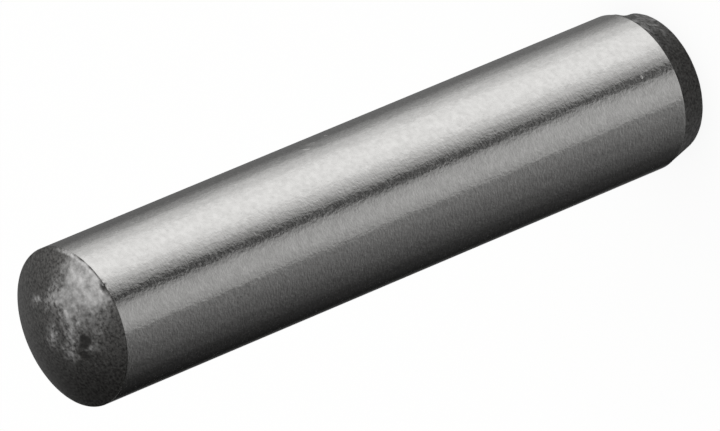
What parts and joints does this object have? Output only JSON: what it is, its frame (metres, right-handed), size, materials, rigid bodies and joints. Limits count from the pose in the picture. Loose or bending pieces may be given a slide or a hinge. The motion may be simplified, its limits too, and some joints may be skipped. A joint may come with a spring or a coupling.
{
  "type": "dowel pin",
  "caption": "Straight cylindrical locating pin of hardened steel, with a ground shank, a chamfered lead-in end and a shallow domed end.",
  "frame": {"origin": "centre of the flat face at the chamfered end, which the pin stands on", "axes": "+Z along the pin's axis, from the chamfered end to the crowned end; the pin is round, so +X and +Y are free"},
  "size_m": [0.006, 0.006, 0.0288],
  "materials": {
    "hardened_steel": "fine ground shank; crown, chamfer and flat face keep the dark skin of heat treatment"
  },
  "bodies": {
    "root": {"dowel_pin": "hardened_steel"}
  },
  "joints": []
}
